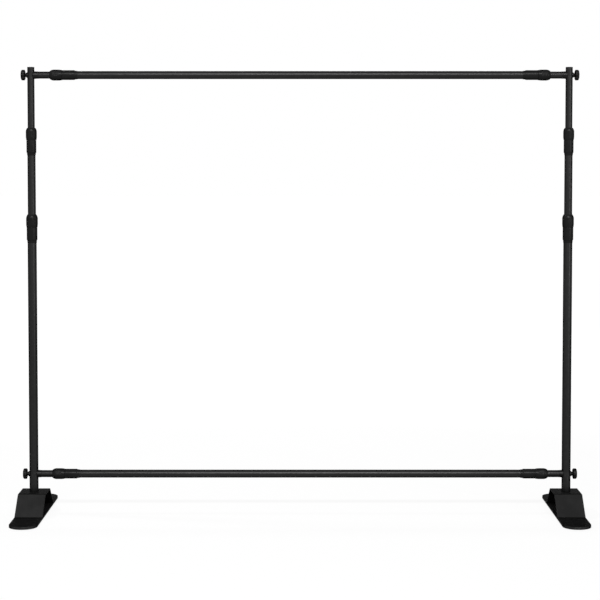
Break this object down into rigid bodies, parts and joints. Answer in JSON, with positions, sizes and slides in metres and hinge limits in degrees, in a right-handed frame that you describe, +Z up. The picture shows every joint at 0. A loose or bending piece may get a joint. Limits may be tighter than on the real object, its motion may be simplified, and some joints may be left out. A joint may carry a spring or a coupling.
{
  "type": "backdrop stand",
  "caption": "Free-standing backdrop frame: telescopic posts on flat steel feet, joined at the top and near the floor by telescopic crossbars, held by twist locks and screw knobs.",
  "frame": {"origin": "on the floor, midway between the two posts and midway between the front and back of the feet", "axes": "+X across the stand to the right as seen in the picture, +Y from front to back, +Z up"},
  "size_m": [1.767, 0.492, 1.403],
  "materials": {
    "tube_coat": "satin black powder coat",
    "foot_coat": "fine-textured black powder coat",
    "lock_plastic": "moulded black nylon",
    "knob_plastic": "moulded black nylon",
    "fitting_plastic": "moulded black plastic",
    "bush_plastic": "natural acetal",
    "pad_rubber": "black rubber",
    "zinc_steel": "zinc-plated steel"
  },
  "bodies": {
    "left_lower": {"left_foot_pads": "pad_rubber", "left_base_plate": "foot_coat", "left_foot_bridge": "foot_coat", "left_post_bolt": "zinc_steel", "left_lower_tube_insert": "zinc_steel", "left_lower_tube": "tube_coat", "left_lower_lock_body": "lock_plastic", "bottom_bar_left_saddle": "fitting_plastic", "bottom_bar_left_end_tube": "tube_coat", "bottom_bar_left_bush": "bush_plastic"},
    "left_middle": {"left_middle_tube": "tube_coat", "left_middle_tube_bush": "bush_plastic", "left_upper_lock_body": "lock_plastic"},
    "left_upper": {"left_upper_tube": "tube_coat", "left_upper_tube_bush": "bush_plastic", "left_top_cap": "fitting_plastic", "top_bar_left_saddle": "fitting_plastic", "top_bar_left_end_tube": "tube_coat", "top_bar_left_bush": "bush_plastic"},
    "left_lower_nut": {"left_lower_lock_nut": "lock_plastic"},
    "left_upper_nut": {"left_upper_lock_nut": "lock_plastic"},
    "left_bottom_washer": {"left_bottom_knob_washer": "fitting_plastic"},
    "left_bottom_knob": {"left_bottom_knob": "knob_plastic"},
    "left_top_washer": {"left_top_knob_washer": "fitting_plastic"},
    "left_top_knob": {"left_top_knob": "knob_plastic"},
    "right_lower": {"right_foot_pads": "pad_rubber", "right_base_plate": "foot_coat", "right_foot_bridge": "foot_coat", "right_post_bolt": "zinc_steel", "right_lower_tube_insert": "zinc_steel", "right_lower_tube": "tube_coat", "right_lower_lock_body": "lock_plastic", "bottom_bar_right_saddle": "fitting_plastic", "bottom_bar_right_end_tube": "tube_coat", "bottom_bar_right_bush": "bush_plastic"},
    "right_middle": {"right_middle_tube": "tube_coat", "right_middle_tube_bush": "bush_plastic", "right_upper_lock_body": "lock_plastic"},
    "right_upper": {"right_upper_tube": "tube_coat", "right_upper_tube_bush": "bush_plastic", "right_top_cap": "fitting_plastic", "top_bar_right_saddle": "fitting_plastic", "top_bar_right_end_tube": "tube_coat", "top_bar_right_bush": "bush_plastic"},
    "right_lower_nut": {"right_lower_lock_nut": "lock_plastic"},
    "right_upper_nut": {"right_upper_lock_nut": "lock_plastic"},
    "right_bottom_washer": {"right_bottom_knob_washer": "fitting_plastic"},
    "right_bottom_knob": {"right_bottom_knob": "knob_plastic"},
    "right_top_washer": {"right_top_knob_washer": "fitting_plastic"},
    "right_top_knob": {"right_top_knob": "knob_plastic"},
    "bottom_centre": {"bottom_bar_centre_tube": "tube_coat", "bottom_bar_left_lock_body": "lock_plastic", "bottom_bar_right_lock_body": "lock_plastic"},
    "bottom_left_nut": {"bottom_bar_left_lock_nut": "lock_plastic"},
    "bottom_right_nut": {"bottom_bar_right_lock_nut": "lock_plastic"},
    "top_centre": {"top_bar_centre_tube": "tube_coat", "top_bar_left_lock_body": "lock_plastic", "top_bar_right_lock_body": "lock_plastic"},
    "top_left_nut": {"top_bar_left_lock_nut": "lock_plastic"},
    "top_right_nut": {"top_bar_right_lock_nut": "lock_plastic"}
  },
  "joints": [
    {"name": "left_middle_slide", "type": "slide", "parent": "left_lower", "child": "left_middle", "axis": [0, 0, 1], "range_m": [-0.182, 0.5]},
    {"name": "left_upper_slide", "type": "slide", "parent": "left_middle", "child": "left_upper", "axis": [0, 0, 1], "range_m": [-0.145, 0.48]},
    {"name": "right_middle_slide", "type": "slide", "parent": "right_lower", "child": "right_middle", "axis": [0, 0, 1], "range_m": [-0.182, 0.5]},
    {"name": "right_upper_slide", "type": "slide", "parent": "right_middle", "child": "right_upper", "axis": [0, 0, 1], "range_m": [-0.145, 0.48]},
    {"name": "bottom_left_slide", "type": "slide", "parent": "left_lower", "child": "bottom_centre", "axis": [1, 0, 0], "range_m": [-0.033, 0.6]},
    {"name": "bottom_right_slide", "type": "slide", "parent": "bottom_centre", "child": "right_lower", "axis": [1, 0, 0], "range_m": [-0.033, 0.6]},
    {"name": "top_left_slide", "type": "slide", "parent": "left_upper", "child": "top_centre", "axis": [1, 0, 0], "range_m": [-0.033, 0.6]},
    {"name": "left_lower_nut_turn", "type": "hinge", "parent": "left_lower", "child": "left_lower_nut", "pos_m": [-0.84, 0, 0.9228], "axis": [0, 0, 1], "range_deg": [0, 180]},
    {"name": "left_upper_nut_turn", "type": "hinge", "parent": "left_middle", "child": "left_upper_nut", "pos_m": [-0.84, 0, 1.1944], "axis": [0, 0, 1], "range_deg": [0, 180]},
    {"name": "right_lower_nut_turn", "type": "hinge", "parent": "right_lower", "child": "right_lower_nut", "pos_m": [0.84, 0, 0.9228], "axis": [0, 0, 1], "range_deg": [0, 180]},
    {"name": "right_upper_nut_turn", "type": "hinge", "parent": "right_middle", "child": "right_upper_nut", "pos_m": [0.84, 0, 1.1944], "axis": [0, 0, 1], "range_deg": [0, 180]},
    {"name": "bottom_left_nut_turn", "type": "hinge", "parent": "bottom_centre", "child": "bottom_left_nut", "pos_m": [-0.7615, 0, 0.124], "axis": [-1, 0, 0], "range_deg": [0, 180]},
    {"name": "bottom_right_nut_turn", "type": "hinge", "parent": "bottom_centre", "child": "bottom_right_nut", "pos_m": [0.7615, 0, 0.124], "axis": [1, 0, 0], "range_deg": [0, 180]},
    {"name": "top_left_nut_turn", "type": "hinge", "parent": "top_centre", "child": "top_left_nut", "pos_m": [-0.7615, 0, 1.378], "axis": [-1, 0, 0], "range_deg": [0, 180]},
    {"name": "top_right_nut_turn", "type": "hinge", "parent": "top_centre", "child": "top_right_nut", "pos_m": [0.7615, 0, 1.378], "axis": [1, 0, 0], "range_deg": [0, 180]},
    {"name": "left_bottom_washer_slide", "type": "slide", "parent": "left_lower", "child": "left_bottom_washer", "axis": [-1, 0, 0], "range_m": [0, 0.0126]},
    {"name": "left_bottom_knob_turn", "type": "hinge", "parent": "left_bottom_washer", "child": "left_bottom_knob", "pos_m": [-0.84, 0, 0.124], "axis": [-1, 0, 0], "range_deg": [0, 3600]},
    {"name": "left_top_washer_slide", "type": "slide", "parent": "left_upper", "child": "left_top_washer", "axis": [-1, 0, 0], "range_m": [0, 0.0126]},
    {"name": "left_top_knob_turn", "type": "hinge", "parent": "left_top_washer", "child": "left_top_knob", "pos_m": [-0.84, 0, 1.378], "axis": [-1, 0, 0], "range_deg": [0, 3600]},
    {"name": "right_bottom_washer_slide", "type": "slide", "parent": "right_lower", "child": "right_bottom_washer", "axis": [1, 0, 0], "range_m": [0, 0.0126]},
    {"name": "right_bottom_knob_turn", "type": "hinge", "parent": "right_bottom_washer", "child": "right_bottom_knob", "pos_m": [0.84, 0, 0.124], "axis": [1, 0, 0], "range_deg": [0, 3600]},
    {"name": "right_top_washer_slide", "type": "slide", "parent": "right_upper", "child": "right_top_washer", "axis": [1, 0, 0], "range_m": [0, 0.0126]},
    {"name": "right_top_knob_turn", "type": "hinge", "parent": "right_top_washer", "child": "right_top_knob", "pos_m": [0.84, 0, 1.378], "axis": [1, 0, 0], "range_deg": [0, 3600]}
  ],
  "couplings": [
    {"joint": "right_middle_slide", "follows": "left_middle_slide", "ratio": 1},
    {"joint": "right_upper_slide", "follows": "left_upper_slide", "ratio": 1},
    {"joint": "top_left_slide", "follows": "bottom_left_slide", "ratio": 1},
    {"joint": "left_bottom_washer_slide", "follows": "left_bottom_knob_turn", "m_per_rad": 0.00019894},
    {"joint": "left_top_washer_slide", "follows": "left_top_knob_turn", "m_per_rad": 0.00019894},
    {"joint": "right_bottom_washer_slide", "follows": "right_bottom_knob_turn", "m_per_rad": 0.00019894},
    {"joint": "right_top_washer_slide", "follows": "right_top_knob_turn", "m_per_rad": 0.00019894}
  ]
}
